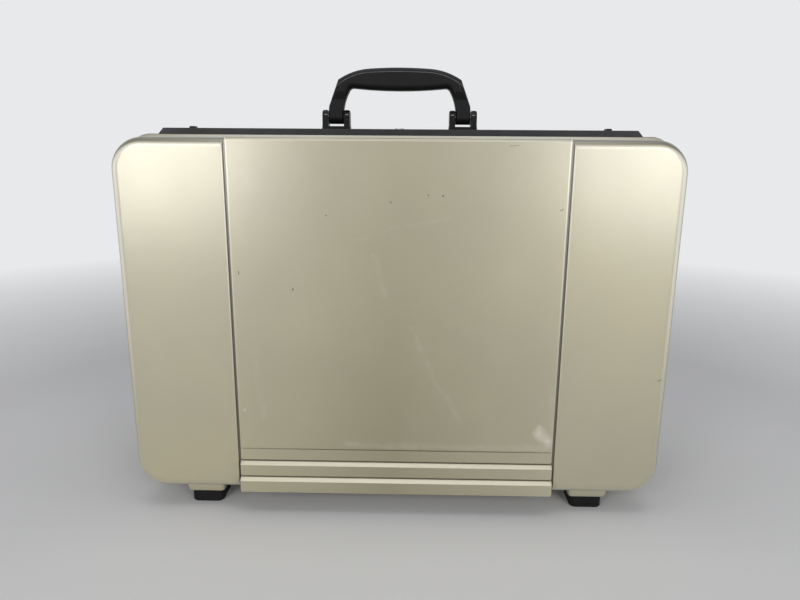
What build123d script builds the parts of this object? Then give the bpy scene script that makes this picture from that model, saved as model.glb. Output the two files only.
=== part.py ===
from build123d import *
from math import cos, radians, sin, tan
import os

# Carrying case for an endoscope: two moulded shells that meet at an upright plane, hinged
# along the bottom and held shut by two slide latches and a key lock in the top strip.
# Millimetres. +Z is up, +X is to the right of someone facing the front, +Y points away from
# them. The shells part at y = 0, the front shell is the lid, and the floor is z = 0.

# Overall form
WIDTH = 632.0  # across the rim
HEIGHT = 420.0  # from the rim's bottom to its top
FACE_DEPTH = 90.0  # from the parting plane to the flat of either face
CORNER_RADIUS = 40.0  # shell corners in the front view, counted out to the rim line
RIM_RADIUS = 20.0  # tighter corners of the rim itself
RIM_BOTTOM = 22.8  # floor to rim

# Moulded shells
WALL = 3.0
FACE_WALL = 3.6
DRAFT = 0.5  # degrees of taper on the walls
EDGE_RADIUS = 10.0  # where the side panels turn into the walls
CAVITY_CHAMFER = 3.5  # the same edge inside
BEAD_INSET = 0.6  # rim bead, in from the frame's outer edge
BEAD_LENGTH = 6.0
BEAD_STEP = 2.9  # height of the bead's sloping side
BEAD_SLOPE = 45.0

# Centre panel with its louvre ribs
PANEL_HALF = 184.9
PANEL_PROUD = 0.6
PANEL_EDGE = 3.5  # rounding of its top edge
SEAM_WIDTH = 2.4
SEAM_DEPTH = 2.4
SEAM_ROUND = 1.5
PANEL_ROOT = 12.0  # how far the panel reaches back into the shell
RIB_COUNT = 2
RIB_STEP = 4.5  # each rib stands out this far beyond the strip above it
RIB_PITCH = 18.6
RIB_LEDGE = 22.4  # rim bottom to the top of the lowest ledge
LEDGE_DROP = 3.8
RIB_GAP = 1.0
RIB_CORNER = 4.0
RIB_GROOVE = 1.6
UPPER_STRIP = 14.2
STRIP_ROUND = 1.3

# Black frames that close the shells
FRAME_BAND = 10.0  # visible width of either frame
FRAME_RING = 14.0  # from its outer edge to the opening
FRAME_FLANGE = 2.5
FLANGE_REACH = 14.0
FRAME_CHAMFER = 0.8
PARTING_GAP = 0.15  # each frame stops this far from the parting plane
FIT = 0.2  # clearance round pieces that are pushed in
RUNNING_FIT = 0.05  # radial clearance round a pin
GASKET_INSET = 5.0
GASKET_WIDTH = 3.0
GASKET_DEPTH = 2.5
GASKET_CLEAR = 0.1

# Black strip along the top, one half on each frame
STRIP_HEIGHT = 7.0
STRIP_END = 31.0  # from the rim's side to the strip's foot
STRIP_SLOPE = 6.0  # run of its sloping ends
STRIP_REAR = 18.0  # depth of the rear half
STRIP_ROOF = 1.8
STRIP_EDGE = 1.0
STRIP_FRONT_WALL = 2.0
STRIP_REAR_WALL = 2.0

# Slide latches
LATCH_INSET = 36.0  # from the strip's foot to the knob
LATCH_TRAVEL = 7.0
KNOB_WIDTH = 6.6
KNOB_DEPTH = 10.0
KNOB_RISE = 2.4
SLIDER_THICK = 1.8
SLIDER_INNER = 29.0  # reach of the slider either side of its knob
SLIDER_OUTER = 12.0
SPRING_LENGTH = 14.6
SPRING_WIRE = 0.6
SPRING_FOLDS = 5
TRAY_SHEET = 0.8
TONGUE_OFFSET = 18.0  # knob to tongue
TONGUE_WIDTH = 12.0
TONGUE_THICK = 1.4
TONGUE_LIFT = 1.4  # rim top to the tongue's underside
TONGUE_REACH = 11.5
TONGUE_HEAD = 22.0
HEAD_DEPTH = 6.0
NOTCH_WIDTH = 5.0
NOTCH_NEAR = 6.4
NOTCH_FAR = 10.0

# Key lock
PLUG_RISE = 1.2
PLUG_EDGE = 0.4
COLLAR_LIP = 0.75  # collar beyond the plug
COLLAR_THICK = 2.0
COLLAR_CLEAR = 0.5  # collar to the strip's walls
CAM_WIDTH = 3.6
CAM_HUB = 8.0
CAM_THICK = 1.6
KEYWAY_LENGTH = 6.5
KEYWAY_WIDTH = 1.3
KEYWAY_DEPTH = 2.0
KEEPER_ARM = 3.0
KEEPER_TOOTH = 3.8
KEEPER_GAP = 3.0  # cam's sweep to the keeper's arm
TOOTH_GAP = 0.6  # cam to tooth while locked
TOOTH_WIDTH = 1.8
LOCK_MARGIN = 2.0  # room past the cam and the keeper

# Carrying handle, its heights counted from the pin
HANDLE_X = 75.4  # middle of either leg
PIN_HEIGHT = 21.0  # rim top to pin
PIN_DIAMETER = 5.0
LEG_WIDTH = 17.2
LEG_DEPTH = 16.4
GRIP_DEPTH = 22.0
GRIP_TOP = 56.0
GRIP_BELLY = 29.9
GRIP_ROUND = 6.5
GRIP_PARTING = 50.7
GRIP_FLARE = 20.0  # where the legs begin to widen into the grip
LEG_SWELL = 11.5  # where their outer sides lean in
LEG_BEND = 16.0
LEG_INSIDE = 1.0  # where their inner sides begin to lean in
BROW_IN = 39.4  # end of the grip's level top, in from the leg's middle
BROW_DROP = 1.3  # and down from the grip's top
TEMPLE_IN = 2.9  # corner where the grip meets the leg
TEMPLE_DROP = 13.7
PIT_IN = 9.6  # the same corner inside, from the leg's inner side
PIT_RISE = 3.0
PIT_RADIUS = 5.5
COVER_BROW_IN = 40.4  # the parting line's two bends
COVER_BROW_DROP = 1.0
COVER_END_IN = 0.4
COVER_END_DROP = 17.0
BRACKET_DEPTH = 17.0
BRACKET_POST = 6.9
BRACKET_FLOOR = 3.3
BRACKET_FLARE = 0.5
BRACKET_ROUND = 2.2
BRACKET_GAP = 0.7  # leg to post

# Feet
FOOT_INSET = 83.0  # from the rim's side to a foot's middle
FOOT_DEPTH = 56.0  # from the parting plane to a foot's middle
BOSS_WIDTH = 50.0
BOSS_LENGTH = 52.0
BOSS_TAPER = 14.0
FOOT_HEIGHT = 15.8
FOOT_WIDTH = 38.0
FOOT_LENGTH = 40.0
FOOT_CORNER = 7.0
FOOT_EDGE = 1.4
STEM_SIDE = 8.0  # square peg that holds a foot in its boss
STEM_LENGTH = 7.0

# Butt hinges under the rim
HINGE_X = 150.0
HINGE_LENGTH = 56.0
HINGE_DROP = 3.0  # rim bottom to the hinge pin
KNUCKLE_RADIUS = 2.8
HINGE_PIN = 3.0
LEAF_THICK = 1.4
LEAF_WIDTH = 15.0
KNUCKLE_GAP = 0.3

# Foam lining
FOAM_SIDE = 1.6  # frame's flange to the foam
FOAM_CLEAR = 0.3
TRAY_DEPTH = 45.0  # depth of the pockets
LID_FOAM_START = 12.0
RING_MARGIN = 62.0  # foam left outside the coil channel
RING_WIDTH = 46.0
RING_RADIUS = 92.0
POCKET_RADIUS = 12.0
CONTROL_LENGTH = 236.0
CONTROL_WIDTH = 66.0
CONNECTOR_LENGTH = 168.0
CONNECTOR_WIDTH = 56.0
NECK_WIDTH = 24.0

# Places worked out from the sizes above
RIM_TOP = RIM_BOTTOM + HEIGHT
RIM_CENTRE = RIM_BOTTOM + HEIGHT / 2
WALL_INSET = BEAD_INSET + BEAD_STEP
FLANGE_INSET = WALL_INSET + WALL + FIT
FOAM_INSET = FLANGE_INSET + FRAME_FLANGE + FOAM_SIDE
INNER_FACE = FACE_DEPTH - FACE_WALL
PANEL_FACE = FACE_DEPTH + PANEL_PROUD
PANEL_BACK = FACE_DEPTH - PANEL_ROOT
PANEL_INSET = WALL_INSET + tan(radians(DRAFT)) * (PANEL_BACK - FRAME_BAND)
STRIP_TOP = RIM_TOP + STRIP_HEIGHT
STRIP_HALF = WIDTH / 2 - STRIP_END
ROOF = STRIP_TOP - STRIP_ROOF
LATCH_X = STRIP_HALF - LATCH_INSET
TONGUE_X = LATCH_X - TONGUE_OFFSET
TONGUE_LOW = RIM_TOP + TONGUE_LIFT
SLIDER_TOP = ROOF - 2 * RUNNING_FIT
SLIDER_LOW = SLIDER_TOP - SLIDER_THICK
HANDLE_Y = STRIP_REAR / 2
CAM_LENGTH = STRIP_REAR / 2 - STRIP_FRONT_WALL
COLLAR_DIAMETER = 2 * (CAM_LENGTH - COLLAR_CLEAR)
PLUG_DIAMETER = COLLAR_DIAMETER - 2 * COLLAR_LIP
KEEPER_REACH = HANDLE_Y + CAM_WIDTH / 2 + TOOTH_GAP + TOOTH_WIDTH
PIN_Z = RIM_TOP + PIN_HEIGHT
HINGE_Z = RIM_BOTTOM - HINGE_DROP
FOOT_X = WIDTH / 2 - FOOT_INSET
BIG = 2 * (WIDTH + HEIGHT)

# Underside of the case, seen from below, with its second direction towards the front
UNDERSIDE = Plane(origin=(0, 0, 0), x_dir=(1, 0, 0), z_dir=(0, 0, -1))


def outline(inset, depth, radius):
    """Rounded rectangle parallel to the parting plane and inset from the rim line."""
    size = RectangleRounded(WIDTH - 2 * inset, HEIGHT - 2 * inset, radius - inset)
    return Plane.XZ.offset(depth) * Pos(0, RIM_CENTRE) * size


def slab(inset, start, end, taper=0.0, radius=CORNER_RADIUS):
    """The outline carried forward from one depth to another."""
    return extrude(outline(inset, start, radius), amount=end - start, taper=taper)


def ring(outer, inner, start, end):
    """Frame-shaped slab between two insets."""
    return slab(outer, start, end) - slab(inner, start - 1, end + 1)


def block(x, y, z):
    """Box from three (low, high) pairs."""
    size = [high - low for low, high in (x, y, z)]
    middle = [(high + low) / 2 for low, high in (x, y, z)]
    return Pos(*middle) * Box(*size)


def upright(x, y, z, diameter):
    """Cylinder standing between two heights."""
    low, high = z
    return Pos(x, y, (low + high) / 2) * Cylinder(diameter / 2, high - low)


def crosswise(x, y, z, diameter):
    """Cylinder lying along X between two places."""
    low, high = x
    return Pos((low + high) / 2, y, z) * Rot(0, 90, 0) * Cylinder(diameter / 2, high - low)


def side_profile(points, rounded):
    """Face in the side view, from (depth, height) points, with some corners rounded."""
    face = make_face(Polyline([(-depth, height) for depth, height in points], close=True))
    for index, radius in rounded:
        depth, height = points[index]
        corner = face.vertices().sort_by_distance((-depth, height, 0))[0]
        face = fillet(corner, radius)
    return face


def panel_strip(points, rounded, depth, bottom, corner):
    """One strip of the centre panel: side, front and plan outlines carried through each other."""
    side = extrude(Plane.YZ * side_profile(points, rounded), amount=BIG, both=True)
    tall = RIM_TOP - bottom + corner
    front = Pos(0, bottom + tall / 2) * Rectangle(2 * PANEL_HALF, tall)
    if corner > 0:
        front = fillet(front.vertices().group_by(Axis.Y)[0], corner)
    front = extrude(Plane.XZ * front, amount=BIG)
    plan = Pos(0, -depth / 2) * Rectangle(2 * PANEL_HALF, depth)
    plan = fillet(plan.vertices().group_by(Axis.Y)[0], STRIP_ROUND)
    plan = extrude(plan, amount=BIG)
    return side & front & plan


def centre_panel():
    """Panel between the seams: a tall flat, a strip level with it and ribs that step outwards."""
    top = RIM_TOP - PANEL_INSET
    bottom = RIM_BOTTOM + PANEL_INSET
    ledge = RIM_BOTTOM + RIB_LEDGE + (RIB_COUNT - 1) * RIB_PITCH
    strip_bottom = ledge + RIB_GAP
    flat_bottom = strip_bottom + UPPER_STRIP + RIB_GROOVE
    flat = [(PANEL_BACK, flat_bottom), (PANEL_FACE, flat_bottom), (PANEL_FACE, top), (PANEL_BACK, top)]
    panel = panel_strip(flat, [(2, PANEL_EDGE)], PANEL_FACE, flat_bottom, 0)
    strip_top = strip_bottom + UPPER_STRIP
    strip = [(PANEL_BACK, strip_bottom), (PANEL_FACE, strip_bottom)]
    strip += [(PANEL_FACE, strip_top), (PANEL_BACK, strip_top)]
    panel += panel_strip(strip, [(1, STRIP_ROUND)], PANEL_FACE, strip_bottom, RIB_CORNER)
    across = (-PANEL_HALF, PANEL_HALF)
    groove = PANEL_FACE - RIB_GROOVE
    panel += block(across, (-groove, -PANEL_BACK), (ledge - 1, flat_bottom + 1))
    for rib in range(RIB_COUNT):
        face = PANEL_FACE + (rib + 1) * RIB_STEP
        root = face - RIB_STEP - RIB_GROOVE
        low = bottom if rib == RIB_COUNT - 1 else ledge - RIB_PITCH + RIB_GAP
        shape = [(PANEL_BACK, low), (face, low), (face, ledge - LEDGE_DROP)]
        shape += [(root, ledge), (PANEL_BACK, ledge)]
        panel += panel_strip(shape, [(1, STRIP_ROUND)], face, low, RIB_CORNER)
        if low > bottom:
            panel += block(across, (RIB_GROOVE - face, -PANEL_BACK), (low - RIB_GAP - 1, low + 1))
        ledge -= RIB_PITCH
    return panel


def seam_cutter():
    """Plan of the recess that takes the centre panel, flared to round the side panels' edges."""
    half = PANEL_HALF + SEAM_WIDTH
    floor = FACE_DEPTH - SEAM_DEPTH
    shoulder = FACE_DEPTH - SEAM_ROUND
    bend = SEAM_ROUND * (1 - cos(radians(45)))
    points = [(half, floor), (half, shoulder)]
    points += [(half + bend, shoulder + SEAM_ROUND * sin(radians(45)))]
    points += [(half + SEAM_ROUND, FACE_DEPTH)]
    right = [(x, -depth) for x, depth in points]
    left = [(-x, y) for x, y in right]
    beyond = -2 * FACE_DEPTH
    lines = [
        Line(left[0], right[0]),
        Line(right[0], right[1]),
        ThreePointArc(right[1], right[2], right[3]),
        Polyline(right[3], (right[3][0], beyond), (left[3][0], beyond), left[3]),
        ThreePointArc(left[3], left[2], left[1]),
        Line(left[1], left[0]),
    ]
    return extrude(make_face(lines), amount=BIG, both=True)


def shell():
    """Front shell: rim bead, drafted walls, side panels, centre panel and two foot bosses."""
    bead_end = FRAME_BAND + BEAD_LENGTH
    body = slab(WALL_INSET, FRAME_BAND, FACE_DEPTH, DRAFT)
    body = fillet(body.faces().sort_by(Axis.Y)[0].edges(), EDGE_RADIUS)
    body += slab(BEAD_INSET, FRAME_BAND, bead_end, radius=RIM_RADIUS)
    body += slab(BEAD_INSET, bead_end, bead_end + BEAD_STEP, BEAD_SLOPE, RIM_RADIUS)
    body -= seam_cutter()
    body += centre_panel()
    for side in (-1, 1):
        boss_top = RIM_BOTTOM + WALL_INSET + WALL / 2
        boss = Pos(side * FOOT_X, FOOT_DEPTH) * RectangleRounded(BOSS_WIDTH, BOSS_LENGTH, FOOT_CORNER)
        boss = extrude(UNDERSIDE.offset(-boss_top) * boss, amount=boss_top - FOOT_HEIGHT, taper=BOSS_TAPER)
        body += chamfer(boss.faces().sort_by(Axis.Z)[0].edges(), FOOT_EDGE)
    cavity = slab(WALL_INSET + WALL, FRAME_BAND - 1, INNER_FACE, DRAFT)
    body -= chamfer(cavity.faces().sort_by(Axis.Y)[0].edges(), CAVITY_CHAMFER)
    behind = (WALL - PANEL_HALF, PANEL_HALF - WALL)
    low = RIM_BOTTOM + PANEL_INSET + WALL
    for rib in range(1, RIB_COUNT + 1):
        ledge = RIM_BOTTOM + RIB_LEDGE + (RIB_COUNT - rib) * RIB_PITCH
        room = PANEL_FACE + rib * RIB_STEP - WALL
        body -= block(behind, (-room, 1 - INNER_FACE), (low, ledge - LEDGE_DROP - WALL / 2))
    for side in (-1, 1):
        body -= foot_stem(side, FIT)
    return body


def frame():
    """Black frame of the front shell: outer band, and a flange pushed inside the wall."""
    band = slab(0, PARTING_GAP, FRAME_BAND, radius=RIM_RADIUS)
    band = chamfer(band.faces().sort_by(Axis.Y)[-1].edges(), FRAME_CHAMFER)
    band -= slab(FRAME_RING, PARTING_GAP - 1, FRAME_BAND + 1)
    return band + ring(FLANGE_INSET, FLANGE_INSET + FRAME_FLANGE, FRAME_BAND - 1, FRAME_BAND + FLANGE_REACH)


def top_strip(near, far):
    """Half of the top strip between two places in Y, with sloping ends."""
    high = STRIP_HALF - STRIP_SLOPE
    points = [(-STRIP_HALF, RIM_TOP), (STRIP_HALF, RIM_TOP), (high, STRIP_TOP), (-high, STRIP_TOP)]
    strip = extrude(Plane.XZ.offset(-near) * make_face(Polyline(points, close=True)), amount=near - far)
    outer = near if abs(near) > abs(far) else far
    edge = strip.edges().filter_by(Axis.X).sort_by_distance((0, outer, STRIP_TOP))[0]
    return fillet(edge, STRIP_EDGE)


def tongue(grow=0.0):
    """Latch tongue of the right side: a wide head in the lid, a nose with a notch in one side."""
    low = TONGUE_LOW - grow
    high = TONGUE_LOW + TONGUE_THICK + grow
    half = TONGUE_WIDTH / 2 + grow
    head = TONGUE_HEAD / 2 + grow
    back = PARTING_GAP - FRAME_BAND + STRIP_FRONT_WALL
    plate = block((TONGUE_X - head, TONGUE_X + head), (back - grow, back + HEAD_DEPTH + grow), (low, high))
    plate += block((TONGUE_X - half, TONGUE_X + half), (back, TONGUE_REACH + grow), (low, high))
    if grow == 0:
        notch = (TONGUE_X + half - NOTCH_WIDTH, TONGUE_X + half + 1)
        plate -= block(notch, (NOTCH_NEAR, NOTCH_FAR), (low - 1, high + 1))
    return plate


def latch_room(grow=0.0):
    """Space under the strip's roof for one slider, its tray and its spring."""
    x = (LATCH_X - SLIDER_INNER - 2 * FIT + grow, LATCH_X + SLIDER_OUTER + SPRING_LENGTH + 2 * FIT - grow)
    y = (STRIP_FRONT_WALL + grow, STRIP_REAR - STRIP_REAR_WALL - grow)
    return x, y


def latch_tray():
    """Sheet-steel channel that the slider runs in, open at the front for the tongue."""
    x, y = latch_room(FIT)
    rail_top = SLIDER_LOW - RUNNING_FIT
    tray = block(x, y, (RIM_TOP, RIM_TOP + TRAY_SHEET))
    tray += block(x, (y[0], y[0] + TRAY_SHEET), (RIM_TOP, rail_top))
    tray += block(x, (y[1] - TRAY_SHEET, y[1]), (RIM_TOP, rail_top))
    half = TONGUE_WIDTH / 2 + 2 * FIT
    gap = (TONGUE_LOW - FIT, rail_top + 1)
    return tray - block((TONGUE_X - half, TONGUE_X + half), (0, y[0] + 2 * TRAY_SHEET), gap)


def latch_slider():
    """Slide bolt: a flat plate, a hook in the tongue's notch and a ribbed knob on top."""
    y = latch_room(2 * FIT)[1]
    plate = block((LATCH_X - SLIDER_INNER, LATCH_X + SLIDER_OUTER), y, (SLIDER_LOW, SLIDER_TOP))
    edge = TONGUE_X + TONGUE_WIDTH / 2
    hook_x = (edge - NOTCH_WIDTH + 2 * FIT, edge - 2 * FIT)
    hook_low = TONGUE_LOW - FIT
    plate += block(hook_x, (NOTCH_NEAR + 2 * FIT, NOTCH_FAR - 2 * FIT), (hook_low, SLIDER_LOW))
    half = KNOB_WIDTH / 2
    knob_y = (HANDLE_Y - KNOB_DEPTH / 2, HANDLE_Y + KNOB_DEPTH / 2)
    knob = block((LATCH_X - half, LATCH_X + half), knob_y, (SLIDER_TOP - 1, STRIP_TOP + KNOB_RISE))
    knob = fillet(knob.faces().sort_by(Axis.Z)[-1].edges(), KNOB_WIDTH / 6)
    return plate + knob


def latch_spring():
    """Folded wire spring between the slider and the end of its room."""
    start = LATCH_X + SLIDER_OUTER + FIT / 2
    low, high = latch_room(2 * FIT + SPRING_WIRE)[1]
    run = (SPRING_LENGTH - FIT) / SPRING_FOLDS
    points = []
    for fold in range(SPRING_FOLDS + 1):
        y = high if fold % 2 else low
        points.append((start + fold * run, y))
    path = Polyline(points)
    bent = offset(path, SPRING_WIRE / 2, kind=Kind.INTERSECTION, side=Side.BOTH)
    inside = block((start, start + SPRING_LENGTH - FIT), latch_room(2 * FIT)[1], (SLIDER_LOW, SLIDER_TOP))
    return extrude(Plane.XY.offset(SLIDER_LOW) * make_face(bent.edges()), amount=SLIDER_THICK) & inside


def keeper(grow=0.0):
    """Lock keeper of the lid: an arm past the cam, with a tooth that the cam catches."""
    low = TONGUE_LOW - grow
    high = TONGUE_LOW + TONGUE_THICK + grow
    arm = CAM_LENGTH + KEEPER_GAP
    back = PARTING_GAP - FRAME_BAND + STRIP_FRONT_WALL
    head_x = (arm - KEEPER_TOOTH - grow, arm + KEEPER_ARM + KEEPER_TOOTH + grow)
    plate = block(head_x, (back - grow, back + HEAD_DEPTH + grow), (low, high))
    plate += block((arm - grow, arm + KEEPER_ARM + grow), (back, KEEPER_REACH + grow), (low, high))
    tooth = (KEEPER_REACH - TOOTH_WIDTH - grow, KEEPER_REACH + grow)
    return plate + block((arm - KEEPER_TOOTH - grow, arm + grow), tooth, (low, high))


def lock_room(grow=0.0):
    """Space under the strip's roof for the lock."""
    right = CAM_LENGTH + KEEPER_GAP + KEEPER_ARM + LOCK_MARGIN
    reach = CAM_LENGTH + 2 * FIT - grow
    return (grow - CAM_LENGTH - LOCK_MARGIN, right - grow), (HANDLE_Y - reach, HANDLE_Y + reach)


def lock_body():
    """Base plate that closes the lock from below."""
    x, y = lock_room(FIT)
    return block(x, y, (RIM_TOP, RIM_TOP + TRAY_SHEET))


def lock_cam():
    """Cam under the cylinder, pointing at the front while the lock is open."""
    top = SLIDER_TOP - COLLAR_THICK
    low = top - CAM_THICK
    half = CAM_WIDTH / 2
    cam = upright(0, HANDLE_Y, (low, top), CAM_HUB)
    arm = block((-half, half), (HANDLE_Y - CAM_LENGTH, HANDLE_Y), (low, top))
    tip = arm.edges().filter_by(Axis.Z).group_by(Axis.Y)[0]
    return cam + fillet(tip, half / 2)


def lock_cylinder():
    """Key plug with the collar that keeps it under the roof."""
    low = SLIDER_TOP - COLLAR_THICK
    top = STRIP_TOP + PLUG_RISE
    plug = upright(0, HANDLE_Y, (low, top), PLUG_DIAMETER)
    plug = chamfer(plug.faces().sort_by(Axis.Z)[-1].edges(), PLUG_EDGE)
    plug += upright(0, HANDLE_Y, (low, SLIDER_TOP), COLLAR_DIAMETER)
    half = KEYWAY_LENGTH / 2
    slot = KEYWAY_WIDTH / 2
    return plug - block((-slot, slot), (HANDLE_Y - half, HANDLE_Y + half), (top - KEYWAY_DEPTH, top + 1))


def handle_face():
    """Front outline of the handle, heights counted from the pin."""
    outer = HANDLE_X + LEG_WIDTH / 2
    inner = HANDLE_X - LEG_WIDTH / 2
    foot = -LEG_DEPTH / 2
    brow = (HANDLE_X - BROW_IN, GRIP_TOP - BROW_DROP)
    temple = (HANDLE_X - TEMPLE_IN, GRIP_TOP - TEMPLE_DROP)
    pit = (inner - PIT_IN, GRIP_BELLY + PIT_RISE)
    crown = ThreePointArc((-brow[0], brow[1]), (0, GRIP_TOP), brow)
    belly = ThreePointArc((-pit[0], pit[1]), (0, GRIP_BELLY), pit)
    side = [
        TangentArc(brow, temple, tangent=crown % 1),
        Polyline(temple, (outer, LEG_SWELL), (outer, foot), (inner, foot), (inner, LEG_INSIDE)),
        TangentArc((inner, LEG_INSIDE), pit, tangent=(0, 1)),
    ]
    face = make_face([crown, belly] + side + [left(line) for line in side])
    for x, z, radius in ((outer, LEG_SWELL, LEG_BEND), (*pit, PIT_RADIUS)):
        corners = [face.vertices().sort_by_distance((end, z, 0))[0] for end in (-x, x)]
        face = fillet(corners, radius)
    return face


def handle_blank():
    """Whole handle: the front outline with rounded edges, narrowed to the legs in the side view."""
    front = Plane.XZ.offset(-HANDLE_Y) * Pos(0, PIN_Z) * handle_face()
    blank = extrude(front, amount=GRIP_DEPTH / 2, both=True)
    blank = fillet(blank.faces().filter_by(Axis.Y).edges(), GRIP_ROUND)
    leg = LEG_DEPTH / 2
    grip = GRIP_DEPTH / 2 + 1
    high = GRIP_TOP + 1
    right = [(leg, 0), (leg, GRIP_FLARE), (grip, GRIP_BELLY + 2), (grip, high)]
    left = [(-y, z) for y, z in right]
    side = [Polyline(right), Line(right[-1], left[-1]), Polyline(left), ThreePointArc(left[0], (0, -leg), right[0])]
    side = Plane.YZ * Pos(HANDLE_Y, PIN_Z) * make_face(side)
    return blank & extrude(side, amount=BIG, both=True)


def cover_region():
    """Everything above the line where the grip's cover parts from its body."""
    brow = (HANDLE_X - COVER_BROW_IN, GRIP_PARTING - COVER_BROW_DROP)
    end = (HANDLE_X - COVER_END_IN, GRIP_PARTING - COVER_END_DROP)
    beyond = (end[0] + 4, end[1] - 3)
    high = GRIP_TOP + 5
    middle = ThreePointArc((-brow[0], brow[1]), (0, GRIP_PARTING), brow)
    side = [TangentArc(brow, end, tangent=middle % 1), Polyline(end, beyond, (beyond[0], high), (0, high))]
    region = make_face([middle] + side + [left(line) for line in side])
    return extrude(Plane.XZ * Pos(0, PIN_Z) * region, amount=BIG, both=True)


def bracket():
    """Right handle bracket: two posts with barrel-rounded tops over a flared base."""
    half = LEG_WIDTH / 2 + BRACKET_GAP
    outer = half + BRACKET_POST
    radius = LEG_DEPTH / 2
    top = PIN_Z + radius
    floor = STRIP_TOP + BRACKET_FLOOR
    deep = BRACKET_DEPTH / 2
    points = [(-outer - BRACKET_FLARE, STRIP_TOP), (outer + BRACKET_FLARE, STRIP_TOP)]
    points += [(outer, floor + 2), (outer, top), (-outer, top), (-outer, floor + 2)]
    front = Pos(HANDLE_X, 0) * make_face(Polyline(points, close=True))
    front -= Pos(HANDLE_X, floor + (top + 1 - floor) / 2) * Rectangle(2 * half, top + 1 - floor)
    tips = front.vertices().group_by(Axis.Y)[-1]
    front = fillet(tips, BRACKET_ROUND)
    body = extrude(Plane.XZ.offset(-HANDLE_Y) * front, amount=deep, both=True)
    lean = [Polyline((radius, PIN_Z), (deep, STRIP_TOP), (-deep, STRIP_TOP), (-radius, PIN_Z))]
    lean.append(ThreePointArc((-radius, PIN_Z), (0, top), (radius, PIN_Z)))
    body &= extrude(Plane.YZ * Pos(HANDLE_Y, 0) * make_face(lean), amount=BIG, both=True)
    return body - crosswise(pin_span(RUNNING_FIT), HANDLE_Y, PIN_Z, PIN_DIAMETER + 2 * RUNNING_FIT)


def pin_span(grow=0.0):
    """Ends of the handle pin along X, 1 mm short of the bracket's sides."""
    half = LEG_WIDTH / 2 + BRACKET_GAP + BRACKET_POST - 1 + grow
    return HANDLE_X - half, HANDLE_X + half


def foot_stem(side, grow=0.0):
    """Square peg on top of a foot."""
    half = (STEM_SIDE + grow) / 2
    x = (side * FOOT_X - half, side * FOOT_X + half)
    return block(x, (-FOOT_DEPTH - half, half - FOOT_DEPTH), (FOOT_HEIGHT - 1, FOOT_HEIGHT + STEM_LENGTH + grow))


def rubber_foot(side):
    """Foot with its lower edge bevelled and its peg pushed into the boss."""
    pad = Pos(side * FOOT_X, -FOOT_DEPTH) * RectangleRounded(FOOT_WIDTH, FOOT_LENGTH, FOOT_CORNER)
    pad = extrude(pad, amount=FOOT_HEIGHT)
    return chamfer(pad.faces().sort_by(Axis.Z)[0].edges(), FOOT_EDGE) + foot_stem(side)


def hinge_leaf(x, own, other):
    """Leaf under the front frame, with knuckles on its own thirds of the pin."""
    third = HINGE_LENGTH / 3
    start = x - HINGE_LENGTH / 2
    thick = (RIM_BOTTOM - LEAF_THICK, RIM_BOTTOM)
    leaf = block((start, start + HINGE_LENGTH), (-LEAF_WIDTH, 0), thick)
    for index in other:
        room = (start + index * third - KNUCKLE_GAP, start + (index + 1) * third + KNUCKLE_GAP)
        leaf -= block(room, (-HINGE_DROP - KNUCKLE_GAP, 1), (HINGE_Z, RIM_BOTTOM + 1))
    for index in own:
        barrel = (start + index * third, start + (index + 1) * third)
        leaf += crosswise(barrel, 0, HINGE_Z, 2 * KNUCKLE_RADIUS)
    bore = (start - 1, start + HINGE_LENGTH + 1)
    return leaf - crosswise(bore, 0, HINGE_Z, HINGE_PIN + 2 * RUNNING_FIT)


def foam_size():
    """Width and height of the foam inside the frame's flange."""
    return WIDTH - 2 * FOAM_INSET, HEIGHT - 2 * FOAM_INSET


def channel_face(shrink):
    """Outer or inner outline of the coil channel round the middle of the case."""
    wide, tall = foam_size()
    radius = RING_RADIUS - shrink
    size = (wide - 2 * RING_MARGIN - 2 * shrink, tall - RING_MARGIN - 2 * shrink)
    return Pos(0, RIM_CENTRE) * RectangleRounded(*size, radius)


def pockets():
    """Control-body and connector pockets, and the necks that lead the tubes to the channel."""
    wide, tall = foam_size()
    wide -= 2 * RING_MARGIN + RING_WIDTH
    island = tall - RING_MARGIN - 2 * RING_WIDTH
    web = (island - CONTROL_WIDTH - CONNECTOR_WIDTH) / 3
    upper = RIM_CENTRE + (island - CONTROL_WIDTH) / 2 - web
    lower = RIM_CENTRE - (island - CONNECTOR_WIDTH) / 2 + web
    face = Pos(0, upper) * RectangleRounded(CONTROL_LENGTH, CONTROL_WIDTH, POCKET_RADIUS)
    face += Pos(0, lower) * RectangleRounded(CONNECTOR_LENGTH, CONNECTOR_WIDTH, POCKET_RADIUS)
    face += Pos(-wide / 4, upper) * Rectangle(wide / 2, NECK_WIDTH)
    face += Pos(wide / 4, lower) * Rectangle(wide / 2, NECK_WIDTH)
    return face


def lining():
    """Foam of the rear shell, drawn in the front one: a floor, a tray and the island in its ring."""
    start = FRAME_BAND + FOAM_CLEAR
    middle = start + TRAY_DEPTH
    floor = slab(FOAM_INSET, middle, INNER_FACE - FOAM_CLEAR)
    tray = slab(FOAM_INSET, start, middle)
    tray -= extrude(Plane.XZ.offset(start - 1) * channel_face(0), amount=TRAY_DEPTH + 2)
    island = channel_face(RING_WIDTH) - pockets()
    island = extrude(Plane.XZ.offset(start) * island, amount=TRAY_DEPTH)
    return floor, tray, island


def rear(shape):
    """The same piece on the other side of the parting plane."""
    return mirror(shape, about=Plane.XZ)


def left(shape):
    """The same piece on the left side of the case."""
    return mirror(shape, about=Plane.YZ)


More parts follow.
